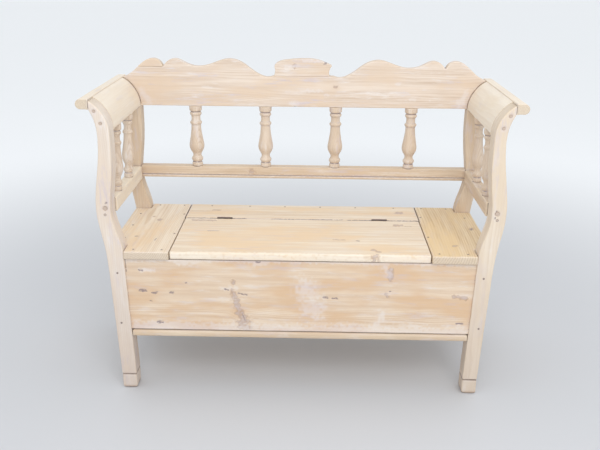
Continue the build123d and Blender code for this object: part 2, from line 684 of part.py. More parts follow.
def hinges():
    for place, x in (("left", -HINGE_X), ("right", HINGE_X)):
        save(f"hinge_{place}_fixed_leaf", hinge_leaf(x, 1))
        save(f"hinge_{place}_lid_leaf", hinge_leaf(x, -1))
        with BuildPart() as pin:
            with Locations(Location((x, SEAM, PIN_Z), (0, 90, 0))):
                Cylinder(PIN_RADIUS, HINGE_LENGTH)
        save(f"hinge_{place}_pin", pin)
    for name, side in (("fixed", 1), ("lid", -1)):
        with BuildPart() as group:
            screws(side)
        save(f"hinge_screws_{name}", group)


def nail_groups():
    groups = {
        "front_panel_nails": post_nail_planes,
        "seat_nails": seat_nail_planes + strip_nail_planes,
        "bottom_board_nails": floor_nail_planes,
    }
    for name, planes in groups.items():
        with BuildPart() as group:
            nails(planes)
        save(name, group)


# ---------------------------------------------------------------- the whole bench
os.makedirs("parts", exist_ok=True)
front_post()
back_post()
foot("foot_front", front_foot_y, FRONT_POST_DEPTH)
foot("foot_back", back_foot_y, BACK_POST_DEPTH)
foot_dowels()
crest()
crest_tablet()
lower_back_rail()
back_spindles()
arm_spindles()
arm_panel()
arm_roll()
arm_rail()
arm_fastenings()
cross_panel("front_panel", FRONT_PANEL_MID, FRONT_PANEL)
cross_panel("back_panel", BACK_PANEL_MID, SIDE_PANEL)
side_panel()
bottom_boards()
seat_bearer()
seat_board()
seat_back_strip()
lid_board()
hinges()
nail_groups()
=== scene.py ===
"""The looks of the entryway bench: worn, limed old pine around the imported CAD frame."""

import itertools
import json
import math

import bpy
import numpy as np
from mathutils import Matrix, Vector
from mathutils.bvhtree import BVHTree

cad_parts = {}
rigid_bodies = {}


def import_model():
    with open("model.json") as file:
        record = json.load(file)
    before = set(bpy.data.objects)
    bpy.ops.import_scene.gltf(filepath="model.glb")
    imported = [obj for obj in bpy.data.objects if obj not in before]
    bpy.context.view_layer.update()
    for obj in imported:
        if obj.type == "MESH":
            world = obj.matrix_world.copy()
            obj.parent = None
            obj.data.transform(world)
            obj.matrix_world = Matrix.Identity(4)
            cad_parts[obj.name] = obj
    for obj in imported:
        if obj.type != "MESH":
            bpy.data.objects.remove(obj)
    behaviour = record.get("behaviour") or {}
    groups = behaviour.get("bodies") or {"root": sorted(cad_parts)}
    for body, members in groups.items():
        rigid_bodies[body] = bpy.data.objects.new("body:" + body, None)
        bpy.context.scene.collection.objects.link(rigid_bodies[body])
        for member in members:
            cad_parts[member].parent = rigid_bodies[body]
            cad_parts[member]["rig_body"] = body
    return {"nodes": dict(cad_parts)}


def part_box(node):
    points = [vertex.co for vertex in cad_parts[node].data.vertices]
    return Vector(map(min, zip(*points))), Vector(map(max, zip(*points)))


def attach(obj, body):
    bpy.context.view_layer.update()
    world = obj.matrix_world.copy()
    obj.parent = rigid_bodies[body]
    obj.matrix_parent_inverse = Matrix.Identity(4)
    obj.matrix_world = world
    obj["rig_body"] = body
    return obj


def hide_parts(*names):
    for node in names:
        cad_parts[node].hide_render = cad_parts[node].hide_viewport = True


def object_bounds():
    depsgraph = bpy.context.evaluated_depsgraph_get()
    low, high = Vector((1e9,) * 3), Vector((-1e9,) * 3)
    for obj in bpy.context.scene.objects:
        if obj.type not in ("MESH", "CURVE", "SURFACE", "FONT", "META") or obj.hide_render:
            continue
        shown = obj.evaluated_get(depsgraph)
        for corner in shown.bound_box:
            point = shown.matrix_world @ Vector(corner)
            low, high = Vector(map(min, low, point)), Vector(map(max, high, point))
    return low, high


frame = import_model()
cad_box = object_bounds()
nodes = frame["nodes"]
scene = bpy.context.scene

# ---------------------------------------------------------------- the boards

ALONG = {"x": (0, 1, 2), "y": (1, 0, 2), "z": (2, 0, 1)}  # grain axis first, then the other two
GRADE = 1.0
FINE = 0.0013 * GRADE  # turned work
MIDDLE = 0.0022 * GRADE  # seen pieces
COARSE = 0.003 * GRADE  # hidden boards


class Timber:
    """How one wooden node was cut: its grain axis, its finish, its mesh and how it has aged.

    The pith is where the middle of the tree lay from the node's, across the grain. Easing is how
    far the arrises at the node's joints have rounded over, from 0 for a tight joint to 1.
    """

    def __init__(self, grain, finish, voxel=MIDDLE, wear=0.6, dirt=0.95, pith=(0.02, -0.07), easing=1.0):
        self.grain, self.finish, self.voxel = grain, finish, voxel
        self.wear, self.dirt, self.pith, self.easing = wear, dirt, pith, easing


TIMBERS = {
    "front_panel": Timber("x", "warm_pine", dirt=1.1, pith=(0.05, -0.06)),
    "lid_board": Timber("x", "honey_pine", dirt=1.04, pith=(0.05, -0.05)),
    "seat_back_strip": Timber("x", "honey_pine", dirt=1.04, pith=(-0.03, -0.09)),
    "crest_rail": Timber("x", "limed_pine", dirt=0.88, pith=(-0.02, -0.05), easing=0.4),
    "crest_tablet": Timber("x", "limed_pine", voxel=0.0015 * GRADE, dirt=0.74, easing=0.3),
    "crest_end_piece": Timber("x", "limed_pine", voxel=0.0018, dirt=0.82, easing=0.5),
    "lower_back_rail": Timber("x", "tan_pine", voxel=0.0016, wear=0.4),
    "back_panel": Timber("x", "box_pine", voxel=COARSE),
    "bottom_board_front": Timber("x", "box_pine", voxel=0.0026),
    "bottom_board_rear": Timber("x", "box_pine", voxel=COARSE),
}
SIDES = {  # the finish of the front post, that of the arm rail, and the seat board
    "left": ("post_pine", "pale_pine", Timber("y", "honey_pine")),
    "right": ("cream_pine", "tan_pine", Timber("y", "amber_pine", pith=(0.09, -0.05))),
}
for side, (post, rail, seat_board) in SIDES.items():
    TIMBERS |= {
        f"front_post_{side}": Timber("z", post, dirt=1.0),
        f"back_post_{side}": Timber("z", "tan_pine", dirt=1.0),
        f"foot_front_{side}": Timber("z", post, wear=1.0, dirt=1.1),
        f"foot_back_{side}": Timber("z", "tan_pine", wear=1.0, dirt=1.1),
        f"arm_panel_{side}": Timber("y", "pale_pine", voxel=FINE, dirt=0.70, easing=0.1),
        f"arm_roll_{side}": Timber("y", "pale_pine", voxel=FINE, dirt=0.70, easing=0.1),
        f"arm_rail_{side}": Timber("y", rail),
        f"arm_spindle_front_{side}": Timber("z", "turned_pine", voxel=FINE, wear=0.15),
        f"arm_spindle_rear_{side}": Timber("z", "turned_pine", voxel=FINE, wear=0.15),
        f"seat_board_{side}": seat_board,
        f"seat_bearer_{side}": Timber("y", "box_pine", voxel=COARSE),
        f"side_panel_{side}": Timber("y", "box_pine", voxel=COARSE),
    }
for number in range(1, 5):
    TIMBERS[f"back_spindle_{number}"] = Timber("z", "turned_pine", voxel=FINE, wear=0.15)

# What age has left on the seen boards, and a rubbed band that is also a painted highlight, each a kind, a
# line on the face and how wide it spreads.
# Points are (x, z) on upright boards and (x, y) on the seat, in metres.
KINDS = KNOT, PAINT, CHIP, RUB_HIGHLIGHT = range(4)
MARKS = {
    "front_panel": [
        (KNOT, (-0.200, 0.335), (-0.190, 0.305), 0.005), (KNOT, (-0.192, 0.310), (-0.176, 0.262), 0.008),
        (KNOT, (-0.178, 0.268), (-0.166, 0.225), 0.010), (KNOT, (-0.167, 0.230), (-0.160, 0.196), 0.013),
        (CHIP, (-0.172, 0.262), (-0.163, 0.236), 0.0012),
        (KNOT, (-0.196, 0.364), (-0.194, 0.362), 0.006), (KNOT, (0.266, 0.408), (0.268, 0.382), 0.007),
        (KNOT, (0.259, 0.330), (0.262, 0.326), 0.006), (KNOT, (0.452, 0.329), (0.494, 0.322), 0.004),
        (PAINT, (-0.188, 0.345), (-0.230, 0.341), 0.006), (PAINT, (0.242, 0.425), (0.262, 0.400), 0.010),
        (PAINT, (0.245, 0.270), (0.234, 0.225), 0.010),
        (PAINT, (-0.50, 0.434), (0.50, 0.434), 0.007), (PAINT, (-0.36, 0.428), (-0.30, 0.426), 0.010),
        (PAINT, (-0.13, 0.422), (-0.10, 0.430), 0.008), (PAINT, (-0.50, 0.210), (0.49, 0.210), 0.017),
        (PAINT, (0.02, 0.350), (0.045, 0.265), 0.028),
        (PAINT, (-0.45, 0.222), (-0.34, 0.222), 0.009), (PAINT, (-0.47, 0.398), (-0.43, 0.398), 0.005),
        (CHIP, (-0.474, 0.332), (-0.456, 0.331), 0.0035), (CHIP, (-0.437, 0.326), (-0.427, 0.325), 0.004),
        (CHIP, (-0.382, 0.328), (-0.377, 0.327), 0.0035), (CHIP, (-0.338, 0.359), (-0.334, 0.359), 0.002),
        (CHIP, (-0.447, 0.298), (-0.443, 0.297), 0.002), (CHIP, (-0.426, 0.227), (-0.414, 0.227), 0.0045),
        (CHIP, (-0.222, 0.340), (-0.212, 0.338), 0.002), (CHIP, (-0.183, 0.328), (-0.157, 0.323), 0.0022),
        (CHIP, (-0.128, 0.430), (-0.116, 0.429), 0.0022), (CHIP, (0.069, 0.319), (0.084, 0.316), 0.003),
        (CHIP, (0.098, 0.316), (0.113, 0.315), 0.0025), (CHIP, (0.266, 0.342), (0.266, 0.340), 0.002),
        (CHIP, (0.470, 0.238), (0.489, 0.238), 0.0025), (CHIP, (-0.473, 0.398), (-0.462, 0.397), 0.0025),
    ],
    "lid_board": [
        (KNOT, (0.216, -0.176), (0.229, -0.190), 0.005), (KNOT, (0.222, -0.2205), (0.215, -0.2205), 0.008),
        # The band along the lid's front edge is rubbed wood and a painted highlight.
        (RUB_HIGHLIGHT, (-0.378, -0.2205), (0.378, -0.2205), 0.009), (PAINT, (0.190, -0.2205), (0.212, -0.2205), 0.005),
        (CHIP, (0.168, -0.103), (0.178, -0.104), 0.0022), (CHIP, (0.330, 0.030), (0.350, 0.027), 0.0018),
        (CHIP, (0.222, -0.2205), (0.219, -0.2205), 0.002), (KNOT, (0.302, 0.038), (0.312, 0.036), 0.008),
        (CHIP, (-0.376, 0.081), (-0.170, 0.081), 0.0022), (CHIP, (-0.08, 0.081), (0.12, 0.081), 0.0018),
        (CHIP, (0.150, 0.081), (0.376, 0.081), 0.0030), (KNOT, (-0.35, 0.060), (-0.28, 0.058), 0.005),
        (KNOT, (-0.290, -0.035), (-0.260, -0.036), 0.003), (KNOT, (0.10, -0.098), (0.134, -0.099), 0.0025),
    ],
    "seat_back_strip": [
        (CHIP, (-0.372, 0.0825), (-0.180, 0.0825), 0.0022), (CHIP, (-0.10, 0.0825), (0.13, 0.0825), 0.0016),
        (CHIP, (0.150, 0.0825), (0.376, 0.0825), 0.0026), (KNOT, (0.318, 0.155), (0.330, 0.156), 0.007),
        (KNOT, (-0.30, 0.16), (-0.28, 0.16), 0.004),
    ],
    "seat_board_left": [
        (CHIP, (-0.504, -0.092), (-0.502, -0.090), 0.004), (CHIP, (-0.441, -0.125), (-0.439, -0.108), 0.0016),
        (KNOT, (-0.460, 0.050), (-0.459, 0.060), 0.005), (KNOT, (-0.486, 0.085), (-0.485, 0.090), 0.003),
        (PAINT, (-0.39, -0.2205), (-0.53, -0.2205), 0.004),
    ],
    "seat_board_right": [
        (KNOT, (0.539, 0.010), (0.543, 0.020), 0.006), (KNOT, (0.457, -0.136), (0.462, -0.133), 0.006),
        (CHIP, (0.541, 0.012), (0.541, 0.018), 0.002), (PAINT, (0.39, -0.222), (0.53, -0.222), 0.005),
    ],
    "crest_rail": [
        (PAINT, (-0.356, 0.840), (-0.345, 0.840), 0.005), (PAINT, (-0.036, 0.822), (-0.022, 0.814), 0.008),
        (PAINT, (0.030, 0.808), (0.040, 0.808), 0.005), (PAINT, (-0.325, 0.871), (-0.296, 0.869), 0.003),
        (PAINT, (-0.01, 0.861), (0.06, 0.860), 0.005), (PAINT, (0.345, 0.840), (0.356, 0.839), 0.006),
        (PAINT, (0.296, 0.887), (0.308, 0.887), 0.004), (PAINT, (0.404, 0.835), (0.406, 0.834), 0.003),
        (PAINT, (0.068, 0.848), (0.078, 0.848), 0.005), (PAINT, (-0.52, 0.85), (-0.50, 0.82), 0.012),
        (PAINT, (0.52, 0.86), (0.50, 0.82), 0.010), (CHIP, (-0.030, 0.8095), (-0.022, 0.8095), 0.002),
        (KNOT, (0.10, 0.875), (0.106, 0.875), 0.003),
    ],
    "crest_tablet": [
        (KNOT, (-0.028, 0.940), (-0.027, 0.940), 0.006), (PAINT, (-0.055, 0.933), (-0.035, 0.932), 0.006),
        (PAINT, (0.0, 0.955), (0.05, 0.955), 0.004), (CHIP, (0.067, 0.948), (0.069, 0.948), 0.003),
    ],
    "lower_back_rail": [
        (PAINT, (-0.53, 0.578), (0.53, 0.578), 0.003), (KNOT, (-0.17, 0.592), (-0.165, 0.592), 0.006),
    ],
    "front_post_left": [(CHIP, (-0.553, 0.606), (-0.551, 0.606), 0.0025)],
    "front_post_right": [
        (CHIP, (0.553, 0.600), (0.553, 0.598), 0.002), (CHIP, (0.552, 0.578), (0.552, 0.576), 0.002),
    ],
}

SEAM_REACH = 0.012  # residue and dirt gather this near a joint, in metres
MOUTH = 0.003  # and get this far into it
SHELTER = 0.55  # the share of them that a pressed face is spared further in
ROUNDING = 10  # rounds of smoothing that a fully worn arris has had
FILL = 0.9  # how far a tight joint's arris is built back up, in voxels
HOLLOWS, RIPPLES = 0.00022, 0.00008  # half the depth of a face's wide and narrow waves
BLOWS, BLOW_REACH, BLOW_DEPTH = 14, 0.012, 0.0007  # knocks on each piece
CHIP_DEPTH = 0.0008


def noise(points, scale, seed):
    """Smooth noise from -1 to 1 at each point, with lumps about scale metres apart."""
    cells = np.floor(points / scale).astype(np.int64)
    part = points / scale - cells
    part = part * part * (3 - 2 * part)
    total = np.zeros(len(points))
    for corner in itertools.product((0, 1), repeat=3):
        place = (cells + corner) * (73856093, 19349663, 83492791)
        mixed = np.bitwise_xor.reduce(place, axis=1) ^ (seed * 2654435761)
        mixed = ((mixed ^ (mixed >> 13)) * 1274126177) & 0xFFFFFFFF
        value = ((mixed ^ (mixed >> 16)) & 0xFFFF) / 32767.5 - 1
        total += value * np.prod(np.where(corner, part, 1 - part), axis=1)
    return total


def even_mesh(node, voxel):
    """A new mesh over the node's surface, in even small squares."""
    rough = bpy.data.objects.new("rough", nodes[node].data.copy())
    scene.collection.objects.link(rough)
    remesh = rough.modifiers.new("even", "REMESH")
    remesh.mode = "VOXEL"
    remesh.voxel_size = voxel
    graph = bpy.context.evaluated_depsgraph_get()
    mesh = bpy.data.meshes.new_from_object(rough.evaluated_get(graph))
    bpy.data.objects.remove(rough)
    return mesh


def read(items, name, kind=np.float32, width=3):
    """One property of all of a mesh's items, as rows of numbers."""
    values = np.empty(len(items) * width, kind)
    items.foreach_get(name, values)
    return values.reshape(-1, width)


def corners(mesh):
    return read(mesh.vertices, "co").astype(float)


def normals(mesh):
    return read(mesh.vertex_normals, "vector").astype(float)


def move(mesh, points):
    mesh.vertices.foreach_set("co", points.astype(np.float32).ravel())
    mesh.update()


def smoothed(points, pairs, rounds):
    """The points after each has moved halfway to its neighbours' middle, so many times."""
    count = np.bincount(pairs.ravel(), minlength=len(points))[:, None]
    both = np.concatenate([pairs, pairs[:, ::-1]])
    for _ in range(rounds):
        total = np.stack(
            [np.bincount(both[:, 0], points[both[:, 1], k], len(points)) for k in range(3)], 1
        )
        points = (points + total / count) / 2
    return points


def dents(points, seed, number, reach, depth):
    """How far each point is knocked in by a few seeded blows."""
    dice = np.random.default_rng(seed)
    knocked = np.zeros(len(points))
    for centre in points[dice.integers(0, len(points), number)]:
        size = reach * dice.uniform(0.4, 1.0, 3)
        away = (((points - centre) / size) ** 2).sum(1)
        knocked += depth * dice.uniform(0.3, 1.0) * np.exp(-2 * away)
    return knocked


def mark_closeness(face, wobble, kind, marks):
    """How strongly each point of a face carries one kind of mark, 0 to 1. Wobble makes them ragged."""
    strength = np.zeros(len(face))
    for sort, start, end, radius in marks:
        if sort != kind:
            continue
        start, run = np.array(start), np.subtract(end, start)
        place = face + wobble * radius - start
        share = np.clip(place @ run / (run @ run), 0, 1)[:, None]
        away = np.linalg.norm(place - share * run, axis=1) / radius
        strength = np.maximum(strength, np.exp(-0.5 * away**2))
    return strength


def seam_closeness(node, points, outward, lowest, highest):
    """For each point, 1 where it touches another piece, down to 0 at SEAM_REACH from it.

    Faces pressed against another piece stay cleaner away from the mouth of the joint.
    """
    vertices, faces = [], []
    for other, obj in nodes.items():
        if other == node or any(word in other for word in ("nail", "hinge")):
            continue
        low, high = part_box(other)
        if any(low[k] > highest[k] + SEAM_REACH or high[k] < lowest[k] - SEAM_REACH for k in range(3)):
            continue
        start = len(vertices)
        vertices.extend(v.co for v in obj.data.vertices)
        faces.extend([start + i for i in p.vertices] for p in obj.data.polygons)
    if not faces:
        return np.zeros(len(points))
    tree = BVHTree.FromPolygons(vertices, faces)
    near = np.full(len(points), SEAM_REACH)
    faced = np.zeros((len(points), 3))
    for index, point in enumerate(points.tolist()):
        found = tree.find_nearest(point, SEAM_REACH)
        if found[0] is not None:
            near[index] = found[3]
            faced[index] = found[1]
    pressed = np.clip(-(outward * faced).sum(1), 0, 1)
    inwards = np.sort(np.concatenate([points - lowest, highest - points], 1), 1)[:, 1]
    hidden = pressed * np.clip((inwards - MOUTH) / MOUTH, 0, 1)
    return (1 - near / SEAM_REACH) * (1 - SHELTER * hidden)


def rounded_over(mesh, timber, loose, seed):
    """The mesh's points with the arrises worn round, unevenly, and how sharp each one was."""
    points, outward = corners(mesh), normals(mesh)
    pairs = read(mesh.edges, "vertices", np.int32, 2)
    rounded = smoothed(points, pairs, ROUNDING)
    sharp = ((points - rounded) * outward).sum(1) / timber.voxel
    uneven = 0.65 + 0.5 * noise(points, 0.035, seed) + 0.35 * noise(points, 0.011, seed + 1)
    share = np.clip(uneven * timber.wear, 0.1, 1) * loose
    filled = timber.voxel * (1 - loose) * np.clip(sharp * 2, 0, 1)
    points = points + outward * filled[:, None] * FILL
    points += (smoothed(points, pairs, 1) - points) * loose[:, None]
    points += (rounded - points) * share[:, None]
    return points, sharp


def sunk(points, timber, loose, chip, seed):
    """How far each point lies under the flat face: hollows, ripples, knocks and chips."""
    depth = HOLLOWS * (1 + noise(points, 0.09, seed + 2)) + RIPPLES * (1 + noise(points, 0.02, seed + 3))
    depth += dents(points, seed, BLOWS, BLOW_REACH, BLOW_DEPTH)
    depth *= min(1, timber.voxel / FINE - 0.2) * loose  # fine work stays truer
    return depth + CHIP_DEPTH * chip


def axis_order(grain, size):
    """The row's axes with the grain's first and the thickness last."""
    along, across, deep = ALONG[grain]
    return (along, deep, across) if size[across] < size[deep] else (along, across, deep)


def worn_piece(node, timber, seed):
    """A worn wooden piece in a CAD node's place, with the attributes that its finish reads."""
    mesh = even_mesh(node, timber.voxel)
    lowest, highest = (np.array(corner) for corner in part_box(node))
    seam = seam_closeness(node, corners(mesh), normals(mesh), lowest, highest)
    loose = 1 - (1 - timber.easing) * np.clip(seam * 2 - 0.8, 0, 1)
    points, sharp = rounded_over(mesh, timber, loose, seed)
    move(mesh, points)

    order = axis_order(timber.grain, highest - lowest)
    face = points[:, sorted(order[:2])]
    wobble = np.stack([noise(points, 0.009, seed + 4), noise(points, 0.006, seed + 5)], 1)
    marks = MARKS.get(node, ())
    knot, paint, chip, rub_highlight = (mark_closeness(face, wobble, kind, marks) for kind in KINDS)
    points = points - normals(mesh) * sunk(points, timber, loose, chip, seed)[:, None]
    points = np.clip(points, *cad_box)
    move(mesh, points)

    wood = (points - (lowest + highest) / 2)[:, order]
    wood += (seed * 3.1, timber.pith[0] + 0.02 * math.sin(seed * 2.4), timber.pith[1])
    end = np.abs(normals(mesh)[:, order[0]])
    # Wear holds seam closeness times dirt, sharpness (which also sets painted shade in grooves) and how
    # end-on the grain is.
    for name, values in (
        ("wood", wood),
        ("wear", np.stack([seam * timber.dirt, np.clip(sharp, -1, 1), end], 1)),
        ("marks", np.stack([knot, paint - rub_highlight, chip], 1)),
    ):
        attribute = mesh.attributes.new(name, "FLOAT_VECTOR", "POINT")
        attribute.data.foreach_set("vector", values.astype(np.float32).ravel())
    mesh.materials.clear()
    mesh.materials.append(FINISHES[timber.finish])
    mesh.shade_smooth()

    piece = bpy.data.objects.new(node + "_worn", mesh)
    scene.collection.objects.link(piece)
    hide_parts(node)
    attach(piece, nodes[node]["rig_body"])


# ---------------------------------------------------------------- the finishes


def tone(red, green, blue):
    """A linear colour from a screen colour in 0 to 255."""
    return tuple(
        v / 12.92 if v <= 0.04045 else ((v + 0.055) / 1.055) ** 2.4
        for v in (red / 255, green / 255, blue / 255)
    ) + (1.0,)


class Net:
    """Short calls that build the nodes of one material."""

    def __init__(self, name):
        self.material = bpy.data.materials.new(name)
        self.material.use_nodes = True
        self.tree = self.material.node_tree
        self.shader = self.tree.nodes["Principled BSDF"]

    def feed(self, socket, value):
        if isinstance(value, bpy.types.NodeSocket):
            self.tree.links.new(value, socket)
        else:
            socket.default_value = value

    def node(self, kind, *inputs, **settings):
        node = self.tree.nodes.new("ShaderNode" + kind)
        for key, value in settings.items():
            setattr(node, key, value)
        for socket, value in zip(node.inputs, inputs):
            if value is not None:
                self.feed(socket, value)
        return node

    def attribute(self, name):
        return self.node("Attribute", attribute_name=name).outputs["Vector"]

    def math(self, operation, a, b=0.0, c=0.0):
        return self.node("Math", a, b, c, operation=operation).outputs[0]

    def split(self, vector):
        return self.node("SeparateXYZ", vector).outputs[:3]

    def noise(self, vector, along, across, detail=2.0, rough=0.5):
        """Noise with so many lumps to the metre along the grain, and so many across it."""
        scaled = self.node("VectorMath", vector, (along, across, across), operation="MULTIPLY")
        made = self.node("TexNoise", scaled.outputs[0])
        made.inputs["Scale"].default_value = 1.0
        made.inputs["Detail"].default_value = detail
        made.inputs["Roughness"].default_value = rough
        return made.outputs["Fac"]

    def band(self, value, low, high, to_low=0.0, to_high=1.0):
        made = self.node("MapRange", value, low, high, to_low, to_high, interpolation_type="SMOOTHSTEP")
        return made.outputs[0]

    def mix(self, factor, a, b, blend="MIX"):
        made = self.node("Mix", data_type="RGBA", blend_type=blend)
        self.feed(made.inputs[0], factor)
        self.feed(made.inputs[6], a)
        self.feed(made.inputs[7], b)
        return made.outputs[2]

    def bump(self, height, distance, strength=1.0):
        made = self.node("Bump")
        made.inputs["Strength"].default_value = strength
        made.inputs["Distance"].default_value = distance
        self.feed(made.inputs["Height"], height)
        self.feed(self.shader.inputs["Normal"], made.outputs[0])


LIME = tone(232, 225, 220)
LILAC = tone(203, 192, 200)
PALE_LILAC = tone(225, 217, 218)
GRIME = tone(118, 98, 90)
SHADE = tone(142, 126, 126)  # painted shade at the bottom of grooves and in inner corners
HEART = tone(172, 142, 124)
FILLER = tone(192, 178, 176)  # the lime in a knot
BARE_HIGHLIGHT = tone(243, 232, 216)  # bare wood where hands have rubbed the lime away, and a painted highlight
ARRIS = tone(240, 219, 184)
PITTED = tone(134, 120, 124)  # the bottom of a chip
# the tone that uprights darken to near their foot
FOOT_TONE = tone(192, 172, 158)
FLOOR_STAIN = tone(160, 122, 92)
END_PALE, END_DARK = tone(228, 213, 189), tone(171, 147, 122)  # the rings of a sawn end


def late_wood(net, wood, knot, ring_width):
    """How far each year's ring has darkened. The rings wander, and bend round the knots."""
    across, deep = net.split(wood)[1:]
    wander = net.noise(wood, 1.6, 4, 1.0)
    lumps = net.noise(wood, 7, 45, 1.0)
    aside = net.math("MULTIPLY_ADD", wander, 0.05, across)
    squares = net.math("ADD", net.math("MULTIPLY", aside, aside), net.math("MULTIPLY", deep, deep))
    radius = net.math("SQRT", squares)
    radius = net.math("MULTIPLY_ADD", lumps, 0.004, radius)
    radius = net.math("MULTIPLY_ADD", knot, 0.009, radius)
    ring = net.math("FRACT", net.math("DIVIDE", radius, ring_width))
    return net.math("MULTIPLY", net.band(ring, 0.25, 0.9), net.band(ring, 0.93, 1.0, 1.0, 0.0))


def knotted(net, colour, wood, knot, dark):
    """A darker halo, a brown rim, and a heart filled with lime."""
    mottle = net.noise(wood, 110, 110, 3.0, 0.65)
    ragged = net.math("MULTIPLY_ADD", mottle, 0.6, net.math("SUBTRACT", knot, 0.3))
    colour = net.mix(net.band(ragged, 0.2, 0.6, 0.0, 0.45), colour, dark)
    lime = net.math("MULTIPLY", net.band(ragged, 0.5, 0.9), net.band(mottle, 0.3, 0.6))
    filled = net.mix(lime, HEART, FILLER)
    return net.mix(net.band(ragged, 0.25, 0.85, 0.0, 0.6), colour, filled)


def limed(net, colour, wood, clouds, seam, sharp, paint, residue):
    """Lime and old paint in the pores, in the grooves, near the joints and where it was left, then painted
    shade at the bottom of grooves.
    """
    smears = net.noise(wood, 10, 55, 4.0, 0.7)
    patchy = net.math("MULTIPLY", net.band(smears, 0.50, 0.70), residue)
    groove = net.math("MULTIPLY", net.band(sharp, -0.03, -0.2), net.band(smears, 0.3, 0.6, 0.3, 1.0))
    near = net.math("MULTIPLY", net.math("MULTIPLY", seam, seam), net.band(smears, 0.38, 0.6, 0.1, 0.8))
    left = net.math("MAXIMUM", net.math("MAXIMUM", patchy, near), net.math("MULTIPLY", groove, 0.8))
    colour = net.mix(left, colour, net.mix(net.band(clouds, 0.38, 0.62), LIME, LILAC))

    strokes = net.noise(wood, 14, 60, 3.0, 0.55)
    brushed = net.math("MULTIPLY_ADD", strokes, 1.4, net.math("SUBTRACT", paint, 0.7))
    brushed = net.math("MULTIPLY", net.band(brushed, -0.2, 1.3, 0.1, 0.8), net.band(paint, 0.05, 1.0))
    brushed_on = net.mix(net.band(clouds, 0.4, 0.6), LIME, PALE_LILAC)
    colour = net.mix(net.math("MULTIPLY", brushed, 0.62), colour, brushed_on)
    # Painted shade where the surface curves in: the bottom of grooves and inner corners.
    return net.mix(net.band(sharp, -0.05, -0.28, 0.0, 0.85), colour, SHADE)


def pine(name, pale, dark, stain, residue, contrast, ring_width=0.0031, foot_darkening=0.0):
    """Bare old pine: rings, fibres, stains and knots, with lime left in its pores and seams.

    The ring width is a year's growth, and the last value is how much darker an upright grows towards its
    foot.
    """
    net = Net(name)
    wood = net.attribute("wood")
    seam, sharp, end = net.split(net.attribute("wear"))
    knot, paint, chip = net.split(net.attribute("marks"))
    late = late_wood(net, wood, knot, ring_width)
    streaks = net.noise(wood, 3.5, 70, 3.0, 0.6)
    fibres = net.noise(wood, 14, 600, 2.0, 0.6)
    clouds = net.noise(wood, 4, 13, 3.0, 0.6)

    depth = net.math("MULTIPLY", late, 0.5)
    depth = net.math("MULTIPLY_ADD", net.band(streaks, 0.32, 0.68), 0.6, depth)
    depth = net.math("MULTIPLY_ADD", net.band(fibres, 0.4, 0.7), 0.25, depth)
    colour = net.mix(net.math("MULTIPLY", depth, contrast), pale, dark)
    colour = net.mix(net.band(clouds, 0.42, 0.64, 0.0, 0.8), colour, stain)
    # Rubbed bands show bare wood, lightened as a painted highlight.
    colour = net.mix(net.band(paint, -0.05, -0.9, 0.0, 0.6), colour, BARE_HIGHLIGHT)
    colour = knotted(net, colour, wood, knot, dark)
    colour = limed(net, colour, wood, clouds, seam, sharp, paint, residue)

    # Sawn ends are greyer, and show the rings as a comb.
    sawn = net.band(end, 0.6, 0.95)
    coarse = net.noise(wood, 300, 300)
    comb = net.math("MULTIPLY_ADD", late, 0.3, net.math("MULTIPLY", coarse, 0.75))
    colour = net.mix(net.math("MULTIPLY", sawn, 0.7), colour, net.mix(comb, END_PALE, END_DARK))

    # Rubbed arrises are cleaner, joints and chips hold dirt, and feet are stained by the floor.
    colour = net.mix(net.band(sharp, 0.2, 0.8, 0.0, 0.45), colour, ARRIS)
    dirt = net.math("MULTIPLY", net.band(seam, 0.78, 0.94), net.band(streaks, 0.3, 0.6, 0.55, 0.95))
    colour = net.mix(dirt, colour, GRIME)
    crumbs = net.noise(wood, 160, 330, 2.0, 0.6)
    pitted = net.math("MULTIPLY_ADD", crumbs, 1.6, net.math("SUBTRACT", chip, 0.8))
    pitted = net.math("MULTIPLY", net.band(pitted, 0.3, 1.0), net.band(chip, 0.0, 0.6))
    colour = net.mix(net.math("MULTIPLY", pitted, 0.8), colour, PITTED)
    height = net.split(net.node("TexCoord").outputs["Object"])[2]
    # Uprights grow darker towards their foot, over their lowest half metre.
    colour = net.mix(net.band(height, 0.50, 0.05, 0.0, foot_darkening), colour, FOOT_TONE)
    colour = net.mix(net.band(height, 0.014, 0.0, 0.0, 0.55), colour, FLOOR_STAIN)

    net.feed(net.shader.inputs["Base Color"], colour)
    net.feed(net.shader.inputs["Roughness"], net.band(streaks, 0.2, 0.8, 0.52, 0.72))
    net.shader.inputs["Specular IOR Level"].default_value = 0.3
    relief = net.math("MULTIPLY_ADD", late, 0.5, fibres)
    relief = net.math("MULTIPLY_ADD", coarse, net.math("MULTIPLY", sawn, 1.2), relief)
    relief = net.math("MULTIPLY_ADD", pitted, -1.0, relief)
    net.bump(relief, 0.0005, 0.6)
    return net.material


def peg_wood():
    """The dark end grain of pegs and dowels."""
    net = Net("peg_wood")
    place = net.node("TexCoord").outputs["Object"]
    spots = net.noise(place, 700, 700, 3.0)
    net.feed(net.shader.inputs["Base Color"], net.mix(spots, tone(172, 150, 134), tone(214, 197, 182)))
    net.shader.inputs["Roughness"].default_value = 0.7
    net.bump(spots, 0.0003)
    return net.material


def iron(name, dark, rusty):
    """Old dark iron, rusted in spots."""
    net = Net(name)
    place = net.node("TexCoord").outputs["Object"]
    scale = net.noise(place, 350, 350, 4.0, 0.65)
    rust = net.band(scale, 0.45, 0.65)
    net.feed(net.shader.inputs["Base Color"], net.mix(rust, dark, rusty))
    net.feed(net.shader.inputs["Roughness"], net.band(rust, 0.0, 1.0, 0.45, 0.8))
    net.shader.inputs["Metallic"].default_value = 0.6
    net.bump(scale, 0.0002)
    return net.material


